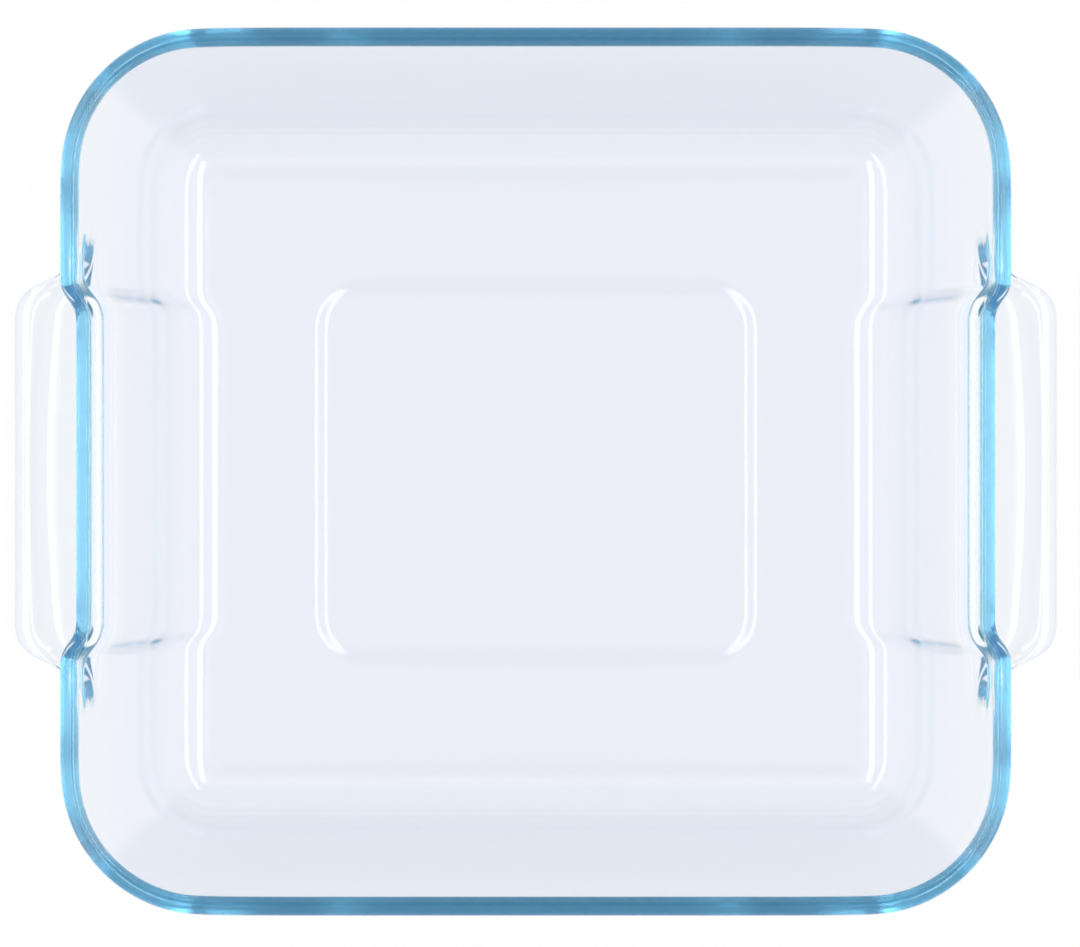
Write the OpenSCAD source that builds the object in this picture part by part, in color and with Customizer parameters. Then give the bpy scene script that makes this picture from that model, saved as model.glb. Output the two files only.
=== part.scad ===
// Square baking dish in pressed glass, with a rolled rim and a grip on two sides.
// The dish is centred on the Z axis and stands on z = 0. Its grips point along +X and -X.
// Plan places are in millimetres, and a section point is [distance in from the rim's outer line, height].

/* [Outline] */
// Width of the rim, across the two gripped sides
rim_w = 257.5; // [230:0.5:300]
// Depth of the rim, from front to back
rim_d = 240.5; // [220:0.5:290]
// Height from the table to the top of the rim
dish_h = 58; // [50:1:75]
// Radius of the rim's outer corners in plan
corner_r = 39; // [32:1:55]
// Smallest radius of the floor's corners in plan
floor_corner_r = 3; // [2:1:20]

/* [Walls and floor] */
// Thickness of the walls
wall_t = 4.7; // [3.5:0.1:5.2]
// Lean of the walls away from upright, in degrees
wall_lean = 20; // [16:1:24]
// Thickness of the floor
floor_t = 5.2; // [4:0.1:7]
// Radius of the curve between the floor and the walls, on the inside
floor_curve_r = 19; // [14:1:26]
// Radius of the heel between the underside and the walls, on the outside
heel_r = 16; // [10:1:22]

/* [Underside] */
// Depth of the shallow hollow in the middle of the underside
hollow_h = 0.5; // [0.3:0.1:1.5]
// Distance in from the rim's outer line to the edge of that hollow
hollow_in = 65.5; // [52:0.5:80]
// Radius of the hollow's corners at its edge
hollow_corner_r = 13.5; // [9:0.5:20]
// Width of the slope from its edge up to its flat middle
hollow_slope_w = 3.5; // [2:0.5:7]

/* [Rim] */
// Width of the flat along the top of the rim
crown_w = 0.2; // [0.1:0.1:2]
// Radius of the rim's outer top edge
rim_outer_r = 3.2; // [3:0.1:4.5]
// Radius of the rim's inner top edge
rim_inner_r = 2.3; // [1.8:0.1:4]
// Height of the rim's upright outer side
rim_side_h = 0.4; // [0.2:0.1:2]
// Radius of the rim's outer bottom edge
lip_r = 0.8; // [0.5:0.1:1.1]

/* [Recess behind each grip] */
// Distance that the side steps in behind a grip
recess_in = 4.3; // [2:0.1:7]
// Length of the recess, between the middles of its two steps
recess_l = 93; // [80:1:110]
// Length of one step, along the side
step_l = 10.5; // [8:0.5:14]

/* [Grips] */
// Distance that a grip stands out past the rim
grip_reach = 14.2; // [10:0.1:18]
// Length of the straight part of a grip's outer edge
grip_edge_l = 84; // [64:0.5:86]
// Radius of a grip's outer corners in plan
grip_corner_r = 10; // [7:0.5:12]
// Angle that a grip's outer corner turns through, in degrees
grip_corner_turn = 68; // [50:1:72]
// Distance from the top of the rim down to the top of a grip
grip_drop = 12; // [8:0.5:18]
// Thickness of a grip over the fingers
grip_t = 5; // [4.4:0.1:6]
// Height of a grip's outer edge, which turns down over the fingertips
grip_lip_h = 6.6; // [6:0.1:9]
// Width of that edge at the middle of a grip
grip_lip_w = 3.8; // [3:0.1:6]
// Extra width that the edge gains towards the ends of a grip
grip_lip_gain = 3.6; // [0:0.1:5]
// Width of the slope from that edge up to the hollow for the fingers
grip_slope_w = 2.6; // [1.5:0.1:4]
// Radius of a grip's outer top edge
grip_top_r = 2.8; // [1.5:0.1:3.2]
// Radius of a grip's outer bottom edge
grip_bottom_r = 2.4; // [1.5:0.1:2.8]
// Radius of the hollow corner over the middle of a grip, at the wall
grip_root_r = 1.2; // [0.6:0.1:3]
// Radius that this corner grows to at the ends of a grip
grip_end_r = 4; // [2:0.1:4.4]
// Radius of the hollow corner under a grip, at the wall
grip_under_r = 4.5; // [3:0.1:6]
// Length of the wall past the recess on which a grip's end runs out
grip_flare_l = 12; // [6:0.5:14]

/* [Hidden] */

// Colours of the clear glass and of the rim, where it is seen along its length
clear_glass = [0.86, 0.92, 0.97, 0.45];
rim_glass = [0.33, 0.68, 0.88, 0.85];

// Segments in each curve of the section
floor_curve_n = 8;
heel_n = 6;
rim_round_n = 4;
lip_n = 3;
grip_round_n = 3;
slope_n = 3;
// Segments in each curve of the plan, for a quarter of the outline
step_n = 8;
corner_n = 10;
// Places along the straight stretches of the plan, as shares of each stretch
recess_shares = [0, 0.35, 0.68, 0.87];
side_shares = [0.3, 0.65];
front_shares = [0.66, 0.33, 0];
// Places on the wall past the recess, as shares of the flare
flare_shares = [0.25, 0.6, 1];
// Reach of a grip's section at those places, as shares of its reach at the end of the recess
flare_reach_shares = [0.65, 0.57, 0.5];
// How much of that section stands out of the wall at those places
flare_out_shares = [0.65, 0.23, 0];

// Points on an arc about a centre, from one angle to another in equal steps
function arc(centre, radius, from, to, steps) = [for (k = [0:steps])
    let (angle = from + (to - from) * k / steps)
    centre + radius * [cos(angle), sin(angle)]
];

// Part of a list, from one place to another
function part(list, first, last) = [for (k = [first:last]) list[k]];

// Heights that the section turns on
floor_z = hollow_h + floor_t;
side_top_z = dish_h - rim_outer_r;
side_bottom_z = side_top_z - rim_side_h;
lip_z = side_bottom_z - lip_r;

// The inner and outer faces of the wall are two parallel lines in the section
crown_end = [rim_outer_r + crown_w, dish_h - rim_inner_r];
inner_top = crown_end + rim_inner_r * [cos(wall_lean), sin(wall_lean)];
function inner_in(z) = inner_top[0] + (inner_top[1] - z) * tan(wall_lean);
function outer_in(z) = inner_in(z) - wall_t / cos(wall_lean);
function on_outer(z) = [outer_in(z), z];

// Distance from a sharp corner to where its curve begins, for a curve between the wall and a level surface
function tangent_l(radius) = radius * tan((90 - wall_lean) / 2);

// The hollow corner under the rim runs from the rim's bottom edge to the wall, and ends at the seam
lip_fillet_r = (outer_in(lip_z) - lip_r) / (1 / cos(wall_lean) - tan(wall_lean));
lip_fillet = arc([lip_r, lip_z - lip_fillet_r], lip_fillet_r, 90, wall_lean, lip_n);
seam = lip_fillet[lip_n];

// Levels of a grip, from its flat top to the lowest line of its root
grip_top_z = dish_h - grip_drop;
grip_hollow_z = grip_top_z - grip_t;
grip_lip_z = grip_top_z - grip_lip_h;
grip_under_z = grip_hollow_z - grip_under_r;
grip_low_z = grip_under_z + grip_under_r * sin(wall_lean);

// Section from the middle of the floor outwards, up to the seam under the rim
floor_curve_centre = [inner_in(floor_z) + tangent_l(floor_curve_r), floor_z + floor_curve_r];
inside_section = concat(
    arc(floor_curve_centre, floor_curve_r, 270, 180 + wall_lean, floor_curve_n),
    [[inner_in(seam[1]), seam[1]]]
);

// Section over the rim, from the inner face of the wall to the top of the rim's outer side
crown_section = concat(
    arc(crown_end, rim_inner_r, wall_lean, 90, rim_round_n),
    arc([rim_outer_r, side_top_z], rim_outer_r, 90, 180, rim_round_n)
);

// Section round the rim's bottom edge and through the hollow corner under it
lip_section = concat(
    arc([lip_r, lip_z + lip_r], lip_r, 180, 270, lip_n),
    part(lip_fillet, 1, lip_n)
);

// Section of the heel, down to the level underside, and of the hollow in the middle of the underside
heel_centre = [outer_in(0) + tangent_l(heel_r), heel_r];
heel_section = arc(heel_centre, heel_r, 180 + wall_lean, 270, heel_n);
hollow_section = [for (k = [0:slope_n])
    let (share = k / slope_n)
    [hollow_in + hollow_slope_w * share, hollow_h * (1 - cos(180 * share)) / 2]
];

// One step of the recess is two equal arcs that meet in its middle
step_turn = 2 * atan(recess_in / step_l);
step_r = step_l / 2 / sin(step_turn);
step_start = (recess_l - step_l) / 2;
step_end = (recess_l + step_l) / 2;
step_line = concat(
    arc([step_r - recess_in, step_start], step_r, 180, 180 - step_turn, step_n / 2),
    part(arc([-step_r, step_end], step_r, -step_turn, 0, step_n / 2), 1, step_n / 2)
);
grip_end_y = step_end + grip_flare_l;

// A quarter of the plan at an inset, from the middle of the gripped side to the middle of the back
function quarter(inset) =
    let (
        across = rim_w / 2 - inset,
        deep = rim_d / 2 - inset,
        radius = max(corner_r - inset, floor_corner_r),
        corner = [across - radius, deep - radius]
    )
    concat(
        [for (s = recess_shares) [across - recess_in, step_start * s]],
        [for (p = step_line) [across, 0] + p],
        [for (s = flare_shares) [across, step_end + grip_flare_l * s]],
        [for (s = side_shares) [across, grip_end_y + (corner[1] - grip_end_y) * s]],
        arc(corner, radius, 0, 90, corner_n),
        [for (s = front_shares) [corner[0] * s, deep]]
    );

quarter_n = len(quarter(0)) - 1;
ring_n = 4 * quarter_n;

// The same quarter of the hollow's plan, which has no recess, with a point for each point of quarter()
side_n = quarter_n - corner_n - len(front_shares);
function hollow_quarter(inset) =
    let (
        across = rim_w / 2 - inset,
        deep = rim_d / 2 - inset,
        radius = hollow_corner_r - (inset - hollow_in),
        corner = [across - radius, deep - radius]
    )
    concat(
        [for (k = [0:side_n - 1]) [across, corner[1] * k / side_n]],
        arc(corner, radius, 0, 90, corner_n),
        [for (s = front_shares) [corner[0] * s, deep]]
    );

// The whole of a plan at a height, anticlockwise from the middle of the +X side
function mirrored(q, z) = concat(
    [for (k = [0:quarter_n]) [q[k][0], q[k][1], z]],
    [for (k = [quarter_n - 1:-1:0]) [-q[k][0], q[k][1], z]],
    [for (k = [1:quarter_n]) [-q[k][0], -q[k][1], z]],
    [for (k = [quarter_n - 1:-1:1]) [q[k][0], -q[k][1], z]]
);
function ring(point) = mirrored(quarter(point[0]), point[1]);
function hollow_ring(point) = mirrored(hollow_quarter(point[0]), point[1]);

// Faces between ring j and ring k, wound clockwise as seen from outside
function band(j, k) = [for (i = [0:ring_n - 1])
    let (n = (i + 1) % ring_n)
    each [
        [j * ring_n + i, j * ring_n + n, k * ring_n + n],
        [j * ring_n + i, k * ring_n + n, k * ring_n + i]
    ]
];

// Everything below the seam: a lofted skin from the middle of the floor round to the middle of the underside
module bowl() {
    skin = concat(inside_section, [seam], heel_section);
    rings = concat([for (p = skin) each ring(p)], [for (p = hollow_section) each hollow_ring(p)]);
    last = len(skin) + len(hollow_section) - 1;
    top_middle = len(rings);
    under_middle = top_middle + 1;
    color(clear_glass)
        polyhedron(
            points = concat(rings, [[0, 0, floor_z], [0, 0, hollow_h]]),
            faces = concat(
                [for (i = [0:ring_n - 1]) [top_middle, (i + 1) % ring_n, i]],
                [for (j = [0:last - 1]) each band(j, j + 1)],
                [for (i = [0:ring_n - 1])
                    [under_middle, last * ring_n + i, last * ring_n + (i + 1) % ring_n]
                ]
            ),
            convexity = 6
        );
}

// The rolled rim above the seam, a closed loop of rings
module rim() {
    skin = concat([inside_section[len(inside_section) - 1]], crown_section, lip_section);
    last = len(skin) - 1;
    color(rim_glass)
        polyhedron(
            points = [for (p = skin) each ring(p)],
            faces = [for (j = [0:last]) each band(j, (j + 1) % (last + 1))],
            convexity = 6
        );
}

// Plan of a grip's outer edge, one point for each place of the side that it stands behind
grip_in = outer_in(grip_top_z);
grip_x = rim_w / 2 + grip_reach;
grip_wall_x = rim_w / 2 - grip_in;
grip_corner_centre = [grip_x - grip_corner_r, grip_edge_l / 2];
grip_corner = arc(grip_corner_centre, grip_corner_r, 0, grip_corner_turn, step_n);
grip_end_reach = grip_corner[step_n][0] - grip_wall_x;
flare_n = len(flare_shares);
grip_half = concat(
    [for (s = recess_shares) [grip_x, grip_edge_l / 2 * s]],
    grip_corner,
    [for (k = [0:flare_n - 1])
        [grip_wall_x + grip_end_reach * flare_reach_shares[k], step_end + grip_flare_l * flare_shares[k]]
    ]
);
grip_n = len(grip_half) - 1;

// Radius of the hollow corner over a grip at one of its places, which ends below the seam
most_root_r = (seam[1] - grip_top_z) / (1 + sin(wall_lean));
function root_r(k) =
    let (share = max(0, min(1, (k - len(recess_shares)) / step_n)))
    min(most_root_r, grip_root_r + (grip_end_r - grip_root_r) * (1 - cos(180 * share)) / 2);
function high_z(root_r) = grip_top_z + root_r * (1 + sin(wall_lean));

// Centre of a hollow corner at the wall: [distance out from the wall at the grip's top, height]
function corner_at(wall_z, radius, z) = [grip_in - outer_in(wall_z) + radius * cos(wall_lean), z];
grip_under_centre = corner_at(grip_low_z, grip_under_r, grip_under_z);

// Section of a grip between its highest and lowest lines on the wall, measured as those centres are
function grip_section(reach, lip_w, root_r) =
    let (
        root_centre = corner_at(high_z(root_r), root_r, grip_top_z + root_r),
        inner_w = max(root_centre[0], grip_under_centre[0]),
        fit = max(0, min(1, (reach - inner_w) / (lip_w + grip_slope_w))),
        root = arc(root_centre, root_r, 180 - wall_lean, 270, grip_round_n),
        top = arc([0, 0], grip_top_r, 90, 0, grip_round_n),
        bottom = arc([0, 0], grip_bottom_r, 0, -90, grip_round_n),
        under = arc(grip_under_centre, grip_under_r, 90, 180 - wall_lean, grip_round_n)
    )
    concat(
        part(root, 1, grip_round_n),
        [for (p = top) [reach + fit * (p[0] - grip_top_r), grip_top_z - grip_top_r + p[1]]],
        [for (p = part(bottom, 1, grip_round_n))
            [reach + fit * (p[0] - grip_bottom_r), grip_lip_z + grip_bottom_r + p[1]]
        ],
        [for (s = [0, 0.5, 1])
            [reach - fit * (lip_w + grip_slope_w * s), grip_lip_z * (1 - s) + grip_hollow_z * s]
        ],
        part(under, 0, grip_round_n - 1)
    );

// Rows of a grip's skin, and the place on the wall that each row starts from
row_n = len(grip_section(grip_reach, grip_lip_w, grip_root_r)) + 1;
function on_wall(place, row) =
    let (
        top_z = high_z(root_r(abs(place))),
        z = top_z + (grip_low_z - top_z) * row / row_n,
        q = quarter(outer_in(z))[abs(place)]
    )
    [q[0], place < 0 ? -q[1] : q[1], z];

// One section of a grip on the +X side, drawn back to the wall near the grip's two ends
function grip_points(place) =
    let (
        k = abs(place),
        side = place < 0 ? -1 : 1,
        back = quarter(grip_in)[k],
        span = grip_half[k] - back,
        reach = norm(span),
        out = span / reach,
        drawn = k - (grip_n + 1 - flare_n),
        stands_out = drawn < 0 ? 1 : flare_out_shares[drawn],
        lip_w = grip_lip_w + grip_lip_gain * pow(grip_half[k][1] / step_end, 2),
        section = grip_section(reach, lip_w, root_r(k))
    )
    [for (v = [0:row_n])
        let (
            root = on_wall(place, v),
            q = section[v - 1],
            free = v > 0 && v < row_n,
            full = free ? [back[0] + out[0] * q[0], side * (back[1] + out[1] * q[0]), q[1]] : root
        )
        root * (1 - stands_out) + full * stands_out
    ];

// A grip for the +X side: its outer skin, closed by the root that lies on the wall
module handle() {
    places = [-grip_n:grip_n];
    columns = 2 * grip_n + 1;
    rows = row_n + 1;
    outer = [for (place = places) each grip_points(place)];
    root = [for (place = places, v = [0:row_n]) on_wall(place, v)];
    function at_edge(c, v) = c == 0 || c == columns - 1 || v == 0 || v == row_n;
    function outer_id(c, v) = c * rows + v;
    function root_id(c, v) = at_edge(c, v) ? outer_id(c, v) : outer_id(c, v) + columns * rows;
    function inner_triangle(t) = [for (p = t) if (!at_edge(p[0], p[1])) p] != [];
    // Each cell is cut across the same way on both halves of the grip, as seen from its middle
    triangles = [for (c = [0:columns - 2], v = [0:row_n - 1])
        each c < grip_n
            ? [[[c, v], [c + 1, v], [c + 1, v + 1]], [[c, v], [c + 1, v + 1], [c, v + 1]]]
            : [[[c, v], [c + 1, v], [c, v + 1]], [[c + 1, v], [c + 1, v + 1], [c, v + 1]]]
    ];
    polyhedron(
        points = concat(outer, root),
        faces = concat(
            [for (t = triangles) if (inner_triangle(t)) [for (p = t) outer_id(p[0], p[1])]],
            [for (t = triangles) if (inner_triangle(t)) [for (k = [2:-1:0]) root_id(t[k][0], t[k][1])]]
        ),
        convexity = 4
    );
}

module right_handle() {
    color(clear_glass) handle();
}

module left_handle() {
    color(clear_glass) rotate(180) handle();
}

bowl();
rim();
left_handle();
right_handle();
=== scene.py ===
"""Glass oven dish: the looks of one pressed piece of glass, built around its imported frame."""

import math

import bmesh
import bpy
from bpy.props import FloatProperty, FloatVectorProperty, PointerProperty
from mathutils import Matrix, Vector


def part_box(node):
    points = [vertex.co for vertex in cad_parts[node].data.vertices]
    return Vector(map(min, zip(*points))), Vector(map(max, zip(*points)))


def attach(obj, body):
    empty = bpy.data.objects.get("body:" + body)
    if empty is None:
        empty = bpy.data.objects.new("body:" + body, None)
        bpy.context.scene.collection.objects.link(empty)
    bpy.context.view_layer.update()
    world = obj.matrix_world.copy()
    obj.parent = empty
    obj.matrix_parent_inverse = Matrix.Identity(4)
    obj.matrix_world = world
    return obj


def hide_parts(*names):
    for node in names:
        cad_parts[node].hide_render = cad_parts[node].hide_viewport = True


bl_info = {
    "name": "Glass Oven Dish",
    "version": (1, 0, 0),
    "blender": (4, 5, 0),
    "location": "View3D > Sidebar > Oven Dish",
    "description": "Presses a clear glass oven dish with side grips and sets it on a pale studio table",
    "category": "Object",
}

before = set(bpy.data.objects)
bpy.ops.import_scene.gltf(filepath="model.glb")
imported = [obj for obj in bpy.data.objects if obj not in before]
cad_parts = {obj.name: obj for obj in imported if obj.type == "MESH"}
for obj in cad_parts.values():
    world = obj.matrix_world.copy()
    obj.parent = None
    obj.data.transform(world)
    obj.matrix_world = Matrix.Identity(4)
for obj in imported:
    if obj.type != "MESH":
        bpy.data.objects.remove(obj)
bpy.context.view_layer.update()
rim_low, rim_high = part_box("rim")
_, grip_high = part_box("right_handle")

MM = 0.001

# Segments in each curve of the section and of the plan
FLOOR_CURVE_STEPS = 6
HEEL_STEPS = 4
CROWN_STEPS = 4
LIP_STEPS = 2
GRIP_ROOT_STEPS = 3
GRIP_EDGE_STEPS = 2
CORNER_STEPS = 8
STEP_ARC_STEPS = 4

# Places along straight stretches, as shares of each stretch
RECESS_SHARES = (0.45, 0.85)
SIDE_SHARES = (0.45,)
FRONT_SHARES = (0.55,)
INNER_WALL_SHARES = (0.08, 0.92)
OUTER_WALL_SHARES = (0.2, 0.8)
GRIP_TOP_SHARES = (0.15, 0.85)
FINGER_HOLLOW_SHARES = (0.5,)
FLARE_SHARES = (0.25, 0.6, 1.0)

# At each of the flare's places, past the recess: the reach of a grip's end as a share of its reach
# at the corner, and how far its skin stands out of the wall as a share of that
FLARE_REACH_SHARES = (0.65, 0.57, 0.5)
FLARE_OUT_SHARES = (0.65, 0.23, 0.0)

# Two places closer than this are the same place
SAME = 0.02 * MM
# A point of the skin this close to a place on the wall is the point pressed there
NEAR = 10 * SAME
# A ring that would move in by less than this stays where it is
STILL = 1e-6 * MM
# A face of the skin has at most this many sides, and a cap has more
MOST_SKIN_SIDES = 8

# Detail and roughness of the noise that ripples the skin
RIPPLE_DETAIL = 2
RIPPLE_ROUGHNESS = 0.35

# Light that has met a surface more often than this has run along inside the glass
GUIDED_DEPTH = 3.5
# Enough bounces for light that is reflected many times in the rim
MOST_BOUNCES = 256
# How white the table's paper is, and how much of what is seen of it is its own glow
PAPER_WHITE = 0.9
PAPER_GLOW = 0.9
# How far a ray points up, out of one, where the room is dim and where it is bright
DIM_UP = 0.968
BRIGHT_UP = 0.866
# How much front-to-back counts against left-to-right, and where the painted shade at the ends gives way to
# the sides
END_WEIGHT = 1.4
END_EDGE = -0.26
SIDE_EDGE = -0.06
WHITE = (1.0, 1.0, 1.0)

# Width of the camera's sensor in millimetres, and how far away it still sees, in metres
SENSOR_MM = 36
FARTHEST = 20


def length(name, text, value):
    """A length in metres that the sidebar shows with its unit."""
    return FloatProperty(name=name, description=text, default=value, unit="LENGTH", precision=5)


def angle(name, text, degrees):
    """An angle that the sidebar shows in degrees."""
    return FloatProperty(name=name, description=text, default=math.radians(degrees), subtype="ANGLE")


def colour(name, text, value):
    """A linear colour."""
    return FloatVectorProperty(
        name=name, description=text, default=value, size=3, min=0, max=1, subtype="COLOR"
    )


class DishSizes(bpy.types.PropertyGroup):
    """Sizes of the bowl and the rim. The overall ones come from the frame."""

    rim_w: length("Rim Width", "Width of the rim across the gripped sides", rim_high[0] - rim_low[0])
    rim_d: length("Rim Depth", "Depth of the rim from front to back", rim_high[1] - rim_low[1])
    height: length("Height", "Height from the table to the top of the rim", rim_high[2])
    corner_r: length("Corner Radius", "Radius of the rim's outer corners in plan", 39 * MM)
    floor_corner_r: length("Floor Corner", "Smallest radius of the corners in plan", 3 * MM)
    wall_t: length("Wall", "Thickness of the walls", 4.7 * MM)
    wall_lean: angle("Wall Lean", "Lean of the walls away from upright", 20)
    floor_t: length("Floor", "Thickness of the floor", 5.2 * MM)
    floor_curve_r: length("Floor Curve", "Radius between the floor and the walls", 19 * MM)
    heel_r: length("Heel", "Radius between the underside and the walls", 16 * MM)
    hollow_h: length("Hollow Depth", "Depth of the shallow hollow in the middle of the underside", 0.5 * MM)
    hollow_in: length("Hollow Inset", "Distance in from the rim's outer line to the hollow", 65.5 * MM)
    hollow_corner_r: length("Hollow Corner", "Radius of the hollow's corners at its edge", 13.5 * MM)
    hollow_slope_w: length("Hollow Slope", "Width of the slope from its edge to its flat middle", 3.5 * MM)
    floor_edge_w: length("Floor Edge", "Width of the even band round the flat of the floor", 3 * MM)
    crown_w: length("Crown Width", "Width of the flat along the top of the rim", 0.2 * MM)
    rim_outer_r: length("Outer Rim Radius", "Radius of the rim's outer top edge", 3.2 * MM)
    rim_inner_r: length("Inner Rim Radius", "Radius of the rim's inner top edge", 2.3 * MM)
    rim_side_h: length("Rim Side", "Height of the rim's upright outer side", 0.4 * MM)
    lip_r: length("Lip Radius", "Radius of the rim's outer bottom edge", 0.8 * MM)
    recess_in: length("Recess", "Distance that the side steps in behind a grip", 4.3 * MM)
    recess_l: length("Recess Length", "Distance between the middles of the two steps", 93 * MM)
    step_l: length("Step Length", "Length of one step along the side", 10.5 * MM)


class GripSizes(bpy.types.PropertyGroup):
    """Sizes of the two grips. Their reach comes from the frame."""

    reach: length("Reach", "Distance that a grip stands out past the rim", grip_high[0] - rim_high[0])
    edge_l: length("Edge Length", "Length of the straight part of the outer edge", 84 * MM)
    corner_r: length("Corner Radius", "Radius of the outer corners in plan", 10 * MM)
    corner_turn: angle("Corner Turn", "Angle that an outer corner turns through", 68)
    drop: length("Drop", "Distance from the top of the rim down to the grip", 12 * MM)
    root_r: length("Root Radius", "Radius of the hollow corner over the middle of a grip", 1.2 * MM)
    end_r: length("End Radius", "Radius that this corner grows to at the grip's ends", 4 * MM)
    thickness: length("Thickness", "Thickness of the grip over the fingers", 5 * MM)
    lip_h: length("Edge Height", "Height of the edge that turns down over the fingertips", 6.6 * MM)
    lip_w: length("Edge Width", "Width of that edge at the middle of a grip", 3.8 * MM)
    lip_gain: length("Edge Gain", "Extra width of the edge towards the ends", 3.6 * MM)
    slope_w: length("Slope", "Width of the slope from the edge up to the hollow", 2.6 * MM)
    top_r: length("Top Radius", "Radius of the outer top edge", 2.8 * MM)
    bottom_r: length("Bottom Radius", "Radius of the outer bottom edge", 2.4 * MM)
    flare_l: length("Flare", "Length of the wall past the recess on which the end runs out", 12 * MM)
    under_r: length("Under Radius", "Radius of the hollow corner under the grip", 4.5 * MM)


class GlassLook(bpy.types.PropertyGroup):
    """Colour and finish of the glass."""

    tint: colour("Tint", "Colour that a long way through the glass leaves", (0.0, 0.74, 0.977))
    density: FloatProperty(name="Density", description="Colour that the glass takes per metre", default=5.0)
    roughness: FloatProperty(name="Roughness", description="Softness of the reflections", default=0.1)
    ior: FloatProperty(name="IOR", description="Index of refraction of the glass", default=1.5)
    ripple: length("Ripple", "Depth of the ripple that pressing leaves in the skin", 0.02 * MM)
    ripple_l: length("Ripple Length", "Distance between two ripples", 14 * MM)


class StudioLook(bpy.types.PropertyGroup):
    """The table, the lamps and the camera."""

    table_w: length("Table Width", "Width of the pale table", 4)
    camera_h: length("Camera Height", "Height of the camera over the rim", 0.9)
    view_w: length("View Width", "Width that the picture shows at the rim", 0.2913)
    view_x: length("View Right", "How far right of the dish the camera stands", 1.15 * MM)
    view_y: length("View Back", "How far behind the dish the camera stands", -0.54 * MM)
    # Painted shade: the table seen through the dish, and in its reflections, is painted darker and bluish,
    # as the shade the dish casts
    painted_shade_under_glass: colour("Under Glass", "Colour of the table seen through the dish", (0.92, 0.915, 1.0))
    # Painted shade, paler in a band round the dish that runs under the grips, where less shade falls
    paler_painted_shade_under_grips: colour("Under Grips", "Colour of the table seen through the grips", (0.95, 0.95, 0.98))
    paler_shade_band_out: length("Grip Band", "How far out the middle of the band under the grips lies", 0.137)
    paler_shade_band_w: length("Grip Band Width", "Reach of this band to each side of its middle", 9 * MM)
    paler_shade_band_fade: length("Grip Band Fade", "Where the band has faded, from its middle", 20 * MM)
    overhead: colour("Overhead", "Colour of the room straight overhead", (0.35, 0.35, 0.36))
    # Painted shade: a dark blue-green that light run inside the glass finds to the front and back, standing
    # in for the shade under the dish there
    painted_end_shade: colour("End Light", "What light inside the glass finds to front and back", (0.0, 0.2, 0.32))
    lamp_x: length("Lamp Side", "How far to the side each long lamp hangs", 0.9)
    lamp_z: length("Lamp Height", "Height of the lamps over the table", 2.5)
    lamp_l: length("Lamp Length", "Length of each lamp, from front to back", 3)
    lamp_w: length("Lamp Width", "Width of each lamp", 0.4)
    lamp_power: FloatProperty(name="Lamp Power", description="Power of each lamp", default=20, unit="POWER")


def edit_vertices(dish):
    """The vertices of the mesh in edit mode, which can be looked up by number."""
    mesh = bmesh.from_edit_mesh(dish.data)
    mesh.verts.ensure_lookup_table()
    return mesh.verts


def pick(dish, numbers):
    """Selects these vertices and nothing else, and says whether there are any."""
    bpy.ops.mesh.select_all(action="DESELECT")
    vertices = edit_vertices(dish)
    for number in numbers:
        vertices[number].select_set(True)
    bmesh.from_edit_mesh(dish.data).select_flush_mode()
    return bool(numbers)


def pick_cap(dish, height):
    """Selects the one many-sided face at this height and gives the numbers of its vertices."""
    mesh = bmesh.from_edit_mesh(dish.data)
    bpy.ops.mesh.select_all(action="DESELECT")
    caps = [
        face for face in mesh.faces
        if len(face.verts) > MOST_SKIN_SIDES and abs(face.calc_center_median().z - height) < SAME
    ]
    if len(caps) != 1:
        raise RuntimeError(f"{len(caps)} caps at height {height:.5f}")
    caps[0].select_set(True)
    return [v.index for v in caps[0].verts]


def arc(centre, radius, first, last, steps):
    """Points on an arc from one angle to another, in equal steps."""
    turns = [first + (last - first) * k / steps for k in range(steps + 1)]
    return [(centre[0] + radius * math.cos(t), centre[1] + radius * math.sin(t)) for t in turns]


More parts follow.
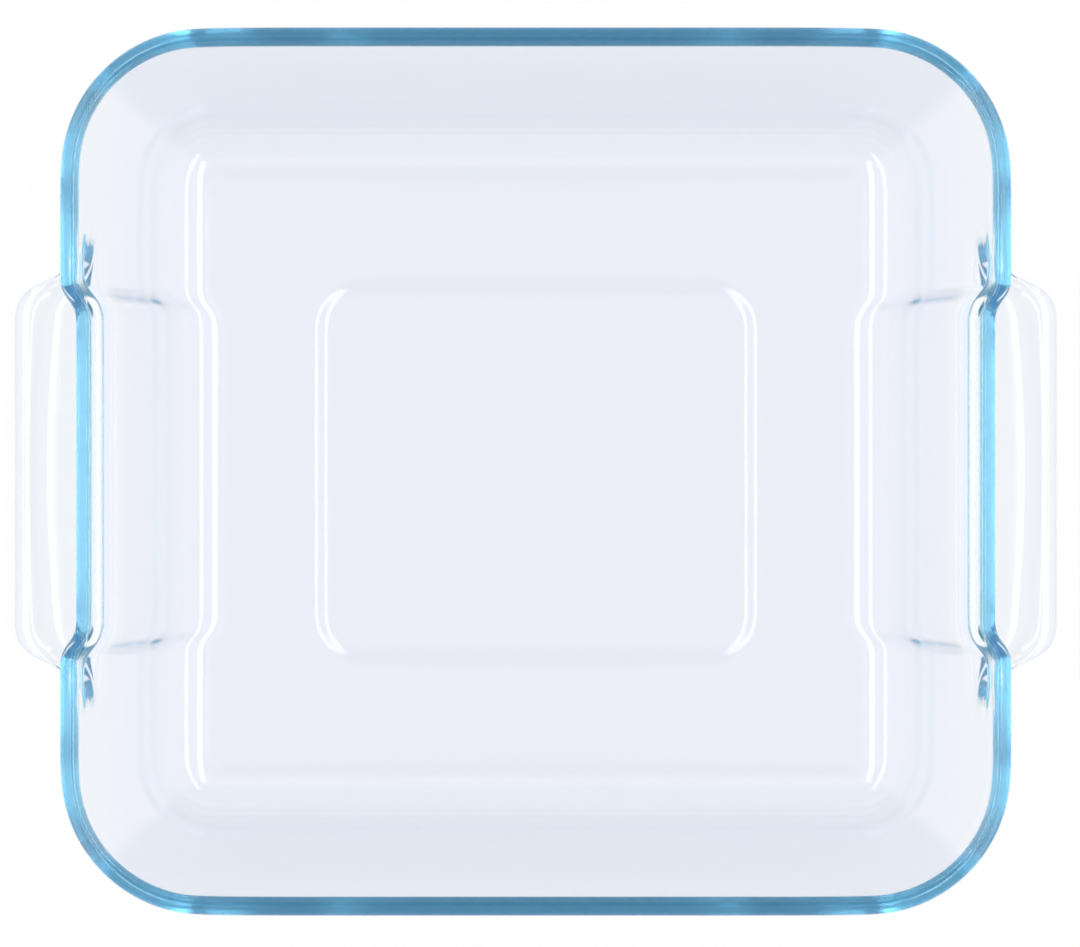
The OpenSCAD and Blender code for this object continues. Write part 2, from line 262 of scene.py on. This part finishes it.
class Section:
    """The dish's section: [distance in from the rim's outer line, height] along its two skins."""

    def __init__(self, sizes, grip):
        lean = sizes.wall_lean
        self.sizes, self.grip = sizes, grip
        self.floor_z = sizes.hollow_h + sizes.floor_t
        self.side_top_z = sizes.height - sizes.rim_outer_r
        self.side_bottom_z = self.side_top_z - sizes.rim_side_h
        self.start = (0.0, (self.side_top_z + self.side_bottom_z) / 2)
        crown_end = (sizes.rim_outer_r + sizes.crown_w, sizes.height - sizes.rim_inner_r)
        self.inner_top = (
            crown_end[0] + sizes.rim_inner_r * math.cos(lean),
            crown_end[1] + sizes.rim_inner_r * math.sin(lean),
        )
        self.crown = (
            arc((sizes.rim_outer_r, self.side_top_z), sizes.rim_outer_r, math.pi, math.pi / 2, CROWN_STEPS)
            + arc(crown_end, sizes.rim_inner_r, math.pi / 2, lean, CROWN_STEPS)
        )
        tangent = math.tan((math.pi / 2 - lean) / 2)
        curve_centre = (
            self.inner_in(self.floor_z) + sizes.floor_curve_r * tangent,
            self.floor_z + sizes.floor_curve_r,
        )
        curve = arc(curve_centre, sizes.floor_curve_r, math.pi + lean, 1.5 * math.pi, FLOOR_CURVE_STEPS)
        self.inside = (
            self.between(self.inner_top, curve[0], INNER_WALL_SHARES)
            + curve
            + [(curve[-1][0] + sizes.floor_edge_w, self.floor_z)]
        )
        lip = arc((sizes.lip_r, self.side_bottom_z), sizes.lip_r, math.pi, 1.5 * math.pi, LIP_STEPS)
        lip_z = self.side_bottom_z - sizes.lip_r
        fillet_r = (self.outer_in(lip_z) - sizes.lip_r) / (1 / math.cos(lean) - math.tan(lean))
        fillet = arc((sizes.lip_r, lip_z - fillet_r), fillet_r, math.pi / 2, lean, LIP_STEPS)
        self.lip = lip + fillet[1:]
        self.grip_top_z = sizes.height - grip.drop
        self.grip_in = self.outer_in(self.grip_top_z)
        grip_high_z = self.high_z(grip.end_r)
        self.grip_low_z = self.grip_top_z - grip.thickness - grip.under_r * (1 - math.sin(lean))
        rows = len(self.grip_skin(grip.reach, grip.lip_w, grip.root_r)) + 1
        self.root = [self.on_outer(grip_high_z + (self.grip_low_z - grip_high_z) * k / rows)
                     for k in range(rows + 1)]
        heel_centre = (self.outer_in(0) + sizes.heel_r * tangent, sizes.heel_r)
        heel = arc(heel_centre, sizes.heel_r, math.pi + lean, 1.5 * math.pi, HEEL_STEPS)
        self.under = (
            self.between(self.root[-1], heel[0], OUTER_WALL_SHARES)
            + heel
            + [(heel[-1][0] + sizes.floor_edge_w, 0.0)]
        )
        hollow_out = sizes.hollow_in + sizes.hollow_slope_w
        self.hollow = [
            (sizes.hollow_in - sizes.floor_edge_w, 0.0),
            (sizes.hollow_in, 0.0),
            (sizes.hollow_in + sizes.hollow_slope_w / 2, sizes.hollow_h / 2),
            (hollow_out, sizes.hollow_h),
            (hollow_out + sizes.floor_edge_w, sizes.hollow_h),
        ]

    def inner_in(self, z):
        """How far in the wall's inner face lies at a height."""
        return self.inner_top[0] + (self.inner_top[1] - z) * math.tan(self.sizes.wall_lean)

    def outer_in(self, z):
        """How far in the wall's outer face lies at a height."""
        return self.inner_in(z) - self.sizes.wall_t / math.cos(self.sizes.wall_lean)

    def on_outer(self, z):
        """A point of the wall's outer face."""
        return (self.outer_in(z), z)

    @staticmethod
    def between(first, last, shares):
        """Points at shares of the way from one point to another."""
        return [
            (first[0] + (last[0] - first[0]) * share, first[1] + (last[1] - first[1]) * share)
            for share in shares
        ]

    def high_z(self, root_r):
        """Height on the wall at which the hollow corner over a grip begins."""
        return self.grip_top_z + root_r * (1 + math.sin(self.sizes.wall_lean))

    def corner_at(self, wall_z, radius, z):
        """Centre of a hollow corner between a grip and the wall: (distance out from the wall, height)."""
        return (self.out_to_wall(wall_z) + radius * math.cos(self.sizes.wall_lean), z)

    def out_to_wall(self, z):
        """How far out the wall's outer face stands at a height, from where it meets a grip's top."""
        return self.grip_in - self.outer_in(z)

    def grip_skin(self, reach, lip_w, root_r):
        """A grip's section between its first and its last row: (distance out from the wall, height)."""
        sizes, grip = self.sizes, self.grip
        lean, top_z = sizes.wall_lean, self.grip_top_z
        hollow_z = top_z - grip.thickness
        lip_z = top_z - grip.lip_h
        root_centre = self.corner_at(self.high_z(root_r), root_r, top_z + root_r)
        under_centre = self.corner_at(self.grip_low_z, grip.under_r, hollow_z - grip.under_r)
        inner_w = max(root_centre[0], under_centre[0])
        fit = max(0.0, min(1.0, (reach - inner_w) / (lip_w + grip.slope_w)))
        root = arc(root_centre, root_r, math.pi - lean, 1.5 * math.pi, GRIP_ROOT_STEPS)
        flat = (root[-1], (reach - fit * grip.top_r, top_z))
        top = arc((0, top_z - grip.top_r), grip.top_r, math.pi / 2, 0, GRIP_EDGE_STEPS)
        bottom = arc((0, lip_z + grip.bottom_r), grip.bottom_r, 0, -math.pi / 2, GRIP_EDGE_STEPS)
        slope = ((reach - fit * lip_w, lip_z), (reach - fit * (lip_w + grip.slope_w), hollow_z))
        inner = (under_centre[0], hollow_z)
        under = arc(under_centre, grip.under_r, math.pi / 2, math.pi - lean, GRIP_ROOT_STEPS)[:-1]
        return (
            root
            + self.between(*flat, GRIP_TOP_SHARES)
            + [(reach + fit * (x - grip.top_r), z) for x, z in top]
            + [(reach + fit * (x - grip.bottom_r), z) for x, z in bottom]
            + list(slope)
            + self.between(slope[1], inner, FINGER_HOLLOW_SHARES)
            + under
        )


class Plan:
    """The dish's outline, and how it moves as a ring goes in from the rim's outer line."""

    def __init__(self, sizes, grip):
        self.sizes, self.grip = sizes, grip
        self.turn = 2 * math.atan(sizes.recess_in / sizes.step_l)
        self.arc_r = sizes.step_l / 2 / math.sin(self.turn)
        self.knee = self.arc_r * math.tan(self.turn / 2)
        self.step_start = (sizes.recess_l - sizes.step_l) / 2
        self.step_end = (sizes.recess_l + sizes.step_l) / 2
        self.flare_places = [self.step_end + grip.flare_l * share for share in FLARE_SHARES]
        self.grip_end = self.flare_places[-1]

    def radius(self, inset):
        """Corner radius of the ring that lies this far in."""
        sizes = self.sizes
        if self.is_hollow(inset):
            return sizes.hollow_corner_r + sizes.hollow_in - inset
        return max(sizes.corner_r - inset, sizes.floor_corner_r)

    def is_hollow(self, inset):
        """Whether a ring this far in belongs to the hollow, which has no recess."""
        return inset > self.sizes.hollow_in - self.sizes.floor_edge_w - SAME

    def corner(self, inset):
        """Centre of the ring's corner in the +X +Y quarter."""
        to_centre = inset + self.radius(inset)
        return Vector((self.sizes.rim_w / 2 - to_centre, self.sizes.rim_d / 2 - to_centre, 0))

    def places(self):
        """Stations along the +X side from its middle to the grip's end: (how far it steps in, y)."""
        sizes = self.sizes
        first = arc((0, self.step_start), self.arc_r, math.pi, math.pi - self.turn, STEP_ARC_STEPS)
        second = arc((0, self.step_end), self.arc_r, -self.turn, 0, STEP_ARC_STEPS)
        return (
            [(sizes.recess_in, 0.0)]
            + [(sizes.recess_in, self.step_start * share) for share in RECESS_SHARES]
            + [(sizes.recess_in - x - self.arc_r, y) for x, y in first]
            + [(self.arc_r - x, y) for x, y in second[1:]]
            + [(0.0, y) for y in self.flare_places]
        )


def draw_outline(plan, z):
    """The rim's outer line as one flat face: a plane with its sides cut, stepped in and rounded."""
    sizes = plan.sizes
    bpy.ops.mesh.primitive_plane_add(size=1, location=(0, 0, 0))
    dish = bpy.context.object
    bpy.ops.object.mode_set(mode="EDIT")
    bpy.ops.mesh.select_mode(type="VERT")
    bpy.ops.transform.resize(value=(sizes.rim_w, sizes.rim_d, 1))
    bpy.ops.transform.translate(value=(0, 0, z))
    bpy.ops.mesh.bevel(offset=sizes.corner_r, segments=CORNER_STEPS, affect="VERTICES", profile=0.5)
    knees = (plan.step_start + plan.knee, plan.step_end - plan.knee)
    side_end = plan.corner(0)
    cuts_y = [0.0, *knees, *plan.flare_places]
    cuts_y += [plan.step_start * share for share in RECESS_SHARES]
    cuts_y += [plan.grip_end + (side_end.y - plan.grip_end) * share for share in SIDE_SHARES]
    cuts_x = [0.0] + [side_end.x * share for share in FRONT_SHARES]
    for axis, cuts in ((1, cuts_y), (0, cuts_x)):
        for cut in sorted({sign * c for c in cuts for sign in (-1, 1)}):
            place, normal = [0, 0, z], [0, 0, 0]
            place[axis], normal[axis] = cut, 1
            bpy.ops.mesh.select_all(action="SELECT")
            bpy.ops.mesh.bisect(plane_co=place, plane_no=normal)
    bpy.ops.mesh.select_all(action="SELECT")
    bpy.ops.mesh.dissolve_faces(use_verts=False)
    drop_inner_points(dish)
    for sign in (-1, 1):
        inner = [v.index for v in edit_vertices(dish)
                 if v.co.x * sign > side_end.x and abs(v.co.y) < knees[0] + SAME]
        pick(dish, inner)
        bpy.ops.transform.translate(value=(-sign * sizes.recess_in, 0, 0))
    bends = [v.index for v in edit_vertices(dish)
             if abs(v.co.x) > side_end.x and min(abs(abs(v.co.y) - knee) for knee in knees) < SAME]
    pick(dish, bends)
    bpy.ops.mesh.bevel(offset=plan.knee, segments=STEP_ARC_STEPS, affect="VERTICES", profile=0.5)
    bpy.ops.mesh.select_all(action="SELECT")
    bpy.ops.mesh.remove_doubles(threshold=SAME)
    return dish


def drop_inner_points(dish):
    """Takes out the points that the cuts left where they crossed, inside the outline."""
    crossings = [v.index for v in edit_vertices(dish) if not v.is_boundary]
    if pick(dish, crossings):
        bpy.ops.mesh.dissolve_verts()


def press_rings(dish, plan, first, section):
    """Extrudes the cap along the section, one ring for each point, and draws each ring to its inset."""
    inset, z = first
    for next_inset, next_z in section:
        pick_cap(dish, z)
        bpy.ops.mesh.extrude_region_move(TRANSFORM_OT_translate={"value": (0, 0, next_z - z)})
        ring = [v.index for v in edit_vertices(dish) if v.select]
        draw_ring(dish, plan, ring, inset, next_inset)
        inset, z = next_inset, next_z


def draw_ring(dish, plan, ring, inset, next_inset):
    """Moves a ring's sides in, and closes its corners about their centres."""
    if abs(next_inset - inset) < STILL:
        return
    sizes = plan.sizes
    corner, next_corner = plan.corner(inset), plan.corner(next_inset)
    closing = plan.radius(next_inset) / plan.radius(inset)
    to_hollow = plan.is_hollow(next_inset) and not plan.is_hollow(inset)
    step, end_y = inset - next_inset, sizes.rim_d / 2 - inset
    vertices = edit_vertices(dish)
    at = {number: vertices[number].co.copy() for number in ring}
    for sign in (-1, 1):
        sides = [n for n in ring if at[n].x * sign > 0 and abs(at[n].y) < corner.y - SAME]
        ends = [n for n in ring if at[n].y * sign > end_y - SAME and abs(at[n].x) < corner.x - SAME]
        if pick(dish, sides):
            if to_hollow:
                line = (sign * (sizes.rim_w / 2 - next_inset), 0, 0)
                flat = (0, next_corner.y / corner.y, 1)
                bpy.ops.transform.resize(value=flat, center_override=line)
            else:
                bpy.ops.transform.translate(value=(sign * step, 0, 0))
        if pick(dish, ends):
            if to_hollow:
                line = (0, sign * (sizes.rim_d / 2 - next_inset), 0)
                flat = (next_corner.x / corner.x, 0, 1)
                bpy.ops.transform.resize(value=flat, center_override=line)
            else:
                bpy.ops.transform.translate(value=(0, sign * step, 0))
        for other in (-1, 1):
            turned = [
                n for n in ring
                if at[n].x * sign > corner.x - SAME and at[n].y * other > corner.y - SAME
            ]
            centre = (sign * corner.x, other * corner.y, 0)
            shift = (sign * (next_corner.x - corner.x), other * (next_corner.y - corner.y), 0)
            if not pick(dish, turned):
                raise RuntimeError("a corner has no points")
            bpy.ops.transform.resize(value=(closing, closing, 1), center_override=centre)
            bpy.ops.transform.translate(value=shift)


def grip_outline(plan, grip_in):
    """Plan of a grip's outer edge, one point for each station of the side that it stands behind."""
    sizes, grip = plan.sizes, plan.grip
    edge_x, wall_x = sizes.rim_w / 2 + grip.reach, sizes.rim_w / 2 - grip_in
    half = grip.edge_l / 2
    straight = [(edge_x, half * share) for share in (0.0, *RECESS_SHARES)]
    corner = arc((edge_x - grip.corner_r, half), grip.corner_r, 0, grip.corner_turn, 2 * STEP_ARC_STEPS)
    end_reach = corner[-1][0] - wall_x
    return straight + corner + [
        (wall_x + end_reach * share, y) for share, y in zip(FLARE_REACH_SHARES, plan.flare_places)
    ]


def root_radius(grip, number):
    """Radius of the hollow corner over a grip at one of its stations."""
    share = (number - len(RECESS_SHARES) - 1 - STEP_ARC_STEPS) / (STEP_ARC_STEPS + len(FLARE_SHARES))
    return grip.root_r + (grip.end_r - grip.root_r) * (1 - math.cos(math.pi * max(0, min(1, share)))) / 2


def pull_grip(dish, plan, section, sign):
    """Pulls the rows of one side's skin out into a grip, a station at a time."""
    sizes, grip = plan.sizes, plan.grip
    places, outline = plan.places(), grip_outline(plan, section.grip_in)
    vertices = [v for v in edit_vertices(dish) if v.co.x * sign > 0]
    flare_start = len(places) - len(FLARE_SHARES)
    for number, (place, edge) in enumerate(zip(places, outline)):
        stands_out = 1.0 if number < flare_start else FLARE_OUT_SHARES[number - flare_start]
        back = Vector((sizes.rim_w / 2 - place[0] - section.grip_in, place[1]))
        span = Vector(edge) - back
        out = span.normalized()
        lip_w = grip.lip_w + grip.lip_gain * (edge[1] / plan.step_end) ** 2
        skin = section.grip_skin(span.length, lip_w, root_radius(grip, number))
        for half in ((-1, 1) if place[1] > SAME else (1,)):
            for (inset, z), (reach, skin_z) in zip(section.root[1:-1], skin):
                root = Vector((sizes.rim_w / 2 - place[0] - inset, place[1], z))
                full = Vector((back.x + out.x * reach, back.y + out.y * reach, skin_z))
                turn = Vector((sign, half, 1))
                target = root.lerp(full, stands_out) * turn
                nearest = min(vertices, key=lambda v: (v.co - root * turn).length_squared)
                if (nearest.co - root * turn).length > NEAR:
                    raise RuntimeError(f"no point of the skin at {root}")
                nearest.co = target
                vertices.remove(nearest)
    bmesh.update_edit_mesh(dish.data)


def finish_skin(dish):
    """Rounds the pressed skin with a subdivision surface and turns its faces outwards."""
    bpy.ops.mesh.select_all(action="SELECT")
    bpy.ops.mesh.normals_make_consistent(inside=False)
    bpy.ops.object.mode_set(mode="OBJECT")
    rounding = dish.modifiers.new("Rounding", "SUBSURF")
    rounding.levels = rounding.render_levels = 2
    bpy.ops.object.modifier_apply(modifier=rounding.name)
    bpy.ops.object.shade_smooth()


def new_material(name):
    """A node material with nothing in it but its output."""
    material = bpy.data.materials.new(name)
    material.use_nodes = True
    tree = material.node_tree
    tree.nodes.clear()
    output = tree.nodes.new("ShaderNodeOutputMaterial")
    return material, tree, output


def pressed_glass(look):
    """Clear glass that goes blue-green along its length, with the faint ripple of a pressed skin."""
    material, tree, output = new_material("pressed glass")
    nodes, link = tree.nodes, tree.links.new
    glass = nodes.new("ShaderNodeBsdfPrincipled")
    glass.inputs["Base Color"].default_value = (1, 1, 1, 1)
    glass.inputs["Roughness"].default_value = look.roughness
    glass.inputs["IOR"].default_value = look.ior
    glass.inputs["Transmission Weight"].default_value = 1
    place = nodes.new("ShaderNodeTexCoord")
    ripple = nodes.new("ShaderNodeTexNoise")
    ripple.inputs["Scale"].default_value = 1 / look.ripple_l
    ripple.inputs["Detail"].default_value = RIPPLE_DETAIL
    ripple.inputs["Roughness"].default_value = RIPPLE_ROUGHNESS
    bump = nodes.new("ShaderNodeBump")
    bump.inputs["Strength"].default_value = 1
    bump.inputs["Distance"].default_value = look.ripple
    tint = nodes.new("ShaderNodeVolumeAbsorption")
    tint.inputs["Color"].default_value = (*look.tint, 1)
    tint.inputs["Density"].default_value = look.density
    link(place.outputs["Object"], ripple.inputs["Vector"])
    link(ripple.outputs["Fac"], bump.inputs["Height"])
    link(bump.outputs["Normal"], glass.inputs["Normal"])
    link(glass.outputs["BSDF"], output.inputs["Surface"])
    link(tint.outputs["Volume"], output.inputs["Volume"])
    return material


def math_node(tree, operation, *values):
    """One step of arithmetic on sockets or numbers; gives its result."""
    node = tree.nodes.new("ShaderNodeMath")
    node.operation = operation
    for socket, value in zip(node.inputs, values):
        if isinstance(value, (int, float)):
            socket.default_value = value
        else:
            tree.links.new(value, socket)
    return node.outputs[0]


def any_ray(tree, *kinds):
    """A factor that is one for rays of any of these kinds."""
    light_path = tree.nodes.new("ShaderNodeLightPath")
    result = light_path.outputs[kinds[0]]
    for kind in kinds[1:]:
        result = math_node(tree, "MAXIMUM", result, light_path.outputs[kind])
    return result


def guided_ray(tree):
    """One for light that has run along inside the glass, and zero for what is seen straight through it."""
    depth = tree.nodes.new("ShaderNodeLightPath").outputs["Ray Depth"]
    return math_node(tree, "GREATER_THAN", depth, GUIDED_DEPTH)


def soft_step(tree, value, low, high):
    """Zero below one value and one above another, with a soft change between."""
    step = tree.nodes.new("ShaderNodeMapRange")
    step.interpolation_type = "SMOOTHSTEP"
    step.inputs["From Min"].default_value = low
    step.inputs["From Max"].default_value = high
    tree.links.new(value, step.inputs["Value"])
    return step.outputs["Result"]


def mix_colours(tree, share, first, second):
    """A mix of two colours or colour sockets."""
    mix = tree.nodes.new("ShaderNodeMix")
    mix.data_type = "RGBA"
    tree.links.new(share, mix.inputs["Factor"])
    for name, value in (("A", first), ("B", second)):
        socket = next(i for i in mix.inputs if i.name == name and i.type == "RGBA")
        if isinstance(value, tuple):
            socket.default_value = (*value, 1)
        else:
            tree.links.new(value, socket)
    return next(o for o in mix.outputs if o.type == "RGBA")


def table_paper(look):
    """Paper: white to the camera, with painted shade, darker and bluish, to rays from the glass, paler in a
    band round the dish under the grips, and clear to light that runs inside the glass.
    """
    material, tree, output = new_material("paper with painted shade")
    nodes, link = tree.nodes, tree.links.new
    paper = nodes.new("ShaderNodeBsdfDiffuse")
    paper.inputs["Color"].default_value = (PAPER_WHITE, PAPER_WHITE, PAPER_WHITE, 1)
    # This glow is white to the camera and carries the painted shade to glossy and transmission rays
    white = nodes.new("ShaderNodeEmission")
    place = nodes.new("ShaderNodeTexCoord").outputs["Object"]
    reach = nodes.new("ShaderNodeVectorMath")
    reach.operation = "ABSOLUTE"
    link(place, reach.inputs[0])
    split = nodes.new("ShaderNodeSeparateXYZ")
    link(reach.outputs[0], split.inputs["Vector"])
    away = math_node(tree, "MAXIMUM", split.outputs["X"], split.outputs["Y"])
    # Mask of the paler band of painted shade, round the dish under the grips
    from_paler_shade_band = math_node(tree, "ABSOLUTE", math_node(tree, "SUBTRACT", away, look.paler_shade_band_out))
    past_paler_shade_band = soft_step(tree, from_paler_shade_band, look.paler_shade_band_w, look.paler_shade_band_fade)
    # Painted shade: the table as seen from the glass, darker and bluish, paler in the band under the grips
    under = mix_colours(tree, past_paler_shade_band, tuple(look.paler_painted_shade_under_grips), tuple(look.painted_shade_under_glass))
    # White to the camera, painted shade to every other ray
    seen = mix_colours(tree, any_ray(tree, "Is Camera Ray"), under, WHITE)
    link(seen, white.inputs["Color"])
    both = nodes.new("ShaderNodeMixShader")
    both.inputs["Fac"].default_value = PAPER_GLOW
    shown = nodes.new("ShaderNodeMixShader")
    link(any_ray(tree, "Is Camera Ray", "Is Glossy Ray", "Is Transmission Ray"), shown.inputs["Fac"])
    link(paper.outputs["BSDF"], both.inputs[1])
    link(white.outputs["Emission"], both.inputs[2])
    link(paper.outputs["BSDF"], shown.inputs[1])
    link(both.outputs["Shader"], shown.inputs[2])
    clear = nodes.new("ShaderNodeBsdfTransparent")
    passed = nodes.new("ShaderNodeMixShader")
    link(guided_ray(tree), passed.inputs["Fac"])
    link(shown.outputs["Shader"], passed.inputs[1])
    link(clear.outputs["BSDF"], passed.inputs[2])
    link(passed.outputs["Shader"], output.inputs["Surface"])
    return material


class OVENDISH_OT_dish(bpy.types.Operator):
    """Presses the dish in one piece: the floor, the walls, the rolled rim and the two grips"""

    bl_idname = "ovendish.dish"
    bl_label = "Glass Dish"

    def execute(self, context):
        sizes, grip = context.scene.oven_dish, context.scene.oven_dish_grips
        section, plan = Section(sizes, grip), Plan(sizes, grip)
        bpy.ops.object.select_all(action="DESELECT")
        dish = draw_outline(plan, section.start[1])
        dish.name = "pressed_dish"
        press_rings(dish, plan, section.start, section.crown + section.inside)
        press_rings(dish, plan, section.start, section.lip + section.root + section.under + section.hollow)
        for sign in (-1, 1):
            pull_grip(dish, plan, section, sign)
        finish_skin(dish)
        dish.data.materials.append(pressed_glass(context.scene.oven_dish_glass))
        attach(dish, "root")
        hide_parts("bowl", "rim", "left_handle", "right_handle")
        return {"FINISHED"}


class OVENDISH_OT_stage(bpy.types.Operator):
    """Sets the dish on a white table under two long lamps, with the camera straight above"""

    bl_idname = "ovendish.stage"
    bl_label = "Table, Lamps and Camera"

    def execute(self, context):
        look = context.scene.oven_dish_studio
        sizes = context.scene.oven_dish
        lay_table(look)
        light_world(context.scene, look)
        for sign in (-1, 1):
            hang_lamp(look, sign)
        set_camera(context.scene, look, sizes.height)
        context.scene.view_settings.view_transform = "Standard"
        context.scene.cycles.max_bounces = MOST_BOUNCES
        context.scene.cycles.transmission_bounces = MOST_BOUNCES
        context.scene.cycles.glossy_bounces = MOST_BOUNCES
        return {"FINISHED"}


def lay_table(look):
    """The table: one large flat plane."""
    bpy.ops.object.select_all(action="DESELECT")
    bpy.ops.mesh.primitive_plane_add(size=look.table_w, location=(0, 0, 0))
    table = bpy.context.object
    table.name = "table"
    table.data.materials.append(table_paper(look))


def light_world(scene, look):
    """A white room, dim overhead. Light from inside the glass finds painted shade to the front and back: a
    dark blue-green that darkens the rim there.
    """
    world = bpy.data.worlds.new("studio with painted end shade")
    world.use_nodes = True
    scene.world = world
    world.cycles.sampling_method = "NONE"
    tree = world.node_tree
    tree.nodes.clear()
    nodes, link = tree.nodes, tree.links.new
    output = nodes.new("ShaderNodeOutputWorld")
    room = nodes.new("ShaderNodeBackground")
    heading = nodes.new("ShaderNodeTexCoord").outputs["Generated"]
    split = nodes.new("ShaderNodeSeparateXYZ")
    link(heading, split.inputs["Vector"])
    up = math_node(tree, "ABSOLUTE", split.outputs["Z"])
    walls = mix_colours(tree, soft_step(tree, up, DIM_UP, BRIGHT_UP), tuple(look.overhead), WHITE)
    across = math_node(tree, "ABSOLUTE", split.outputs["X"])
    along = math_node(tree, "ABSOLUTE", split.outputs["Y"])
    weighed = math_node(tree, "MULTIPLY", along, END_WEIGHT)
    to_side = soft_step(tree, math_node(tree, "SUBTRACT", across, weighed), END_EDGE, SIDE_EDGE)
    # Painted shade to the front and back, white to the sides, for light run inside the glass
    ends = mix_colours(tree, to_side, tuple(look.painted_end_shade), WHITE)
    around = mix_colours(tree, guided_ray(tree), walls, ends)
    link(mix_colours(tree, any_ray(tree, "Is Camera Ray"), around, WHITE), room.inputs["Color"])
    link(room.outputs["Background"], output.inputs["Surface"])


def hang_lamp(look, sign):
    """A long soft lamp high over one side of the table, in line with that side."""
    lamp = bpy.data.lights.new("side lamp", "AREA")
    lamp.shape = "RECTANGLE"
    lamp.size = look.lamp_l
    lamp.size_y = look.lamp_w
    lamp.energy = look.lamp_power
    holder = bpy.data.objects.new("side lamp", lamp)
    bpy.context.collection.objects.link(holder)
    holder.location = (sign * look.lamp_x, 0, look.lamp_z)
    to_dish = -holder.location
    holder.rotation_euler = to_dish.to_track_quat("-Z", "Y").to_euler()


def set_camera(scene, look, rim_z):
    """A long lens straight above the dish."""
    lens = bpy.data.cameras.new("camera")
    lens.sensor_width = SENSOR_MM
    lens.lens = lens.sensor_width * look.camera_h / look.view_w
    lens.clip_end = FARTHEST
    camera = bpy.data.objects.new("camera", lens)
    bpy.context.collection.objects.link(camera)
    camera.location = (look.view_x, look.view_y, rim_z + look.camera_h)
    scene.camera = camera


class OVENDISH_PT_panel(bpy.types.Panel):
    """Lists the pieces and their sizes"""

    bl_idname = "OVENDISH_PT_panel"
    bl_label = "Glass Oven Dish"
    bl_space_type = "VIEW_3D"
    bl_region_type = "UI"
    bl_category = "Oven Dish"

    def draw(self, context):
        for kind in PIECES:
            self.layout.operator(kind.bl_idname)
        for group in SETTINGS:
            box = self.layout.box()
            settings = getattr(context.scene, group)
            for name in SETTINGS[group].__annotations__:
                box.prop(settings, name)


SETTINGS = {
    "oven_dish": DishSizes,
    "oven_dish_grips": GripSizes,
    "oven_dish_glass": GlassLook,
    "oven_dish_studio": StudioLook,
}
PIECES = (OVENDISH_OT_dish, OVENDISH_OT_stage)


def register():
    """Adds the settings, the operators and the panel."""
    for kind in (*SETTINGS.values(), *PIECES, OVENDISH_PT_panel):
        bpy.utils.register_class(kind)
    for name, kind in SETTINGS.items():
        setattr(bpy.types.Scene, name, PointerProperty(type=kind))


def unregister():
    """Takes them away again."""
    for name in SETTINGS:
        delattr(bpy.types.Scene, name)
    for kind in (OVENDISH_PT_panel, *reversed(PIECES), *reversed(SETTINGS.values())):
        bpy.utils.unregister_class(kind)


def main():
    """Builds the dish and its stage."""
    register()
    bpy.ops.ovendish.dish()
    bpy.ops.ovendish.stage()


if __name__ == "__main__":
    main()
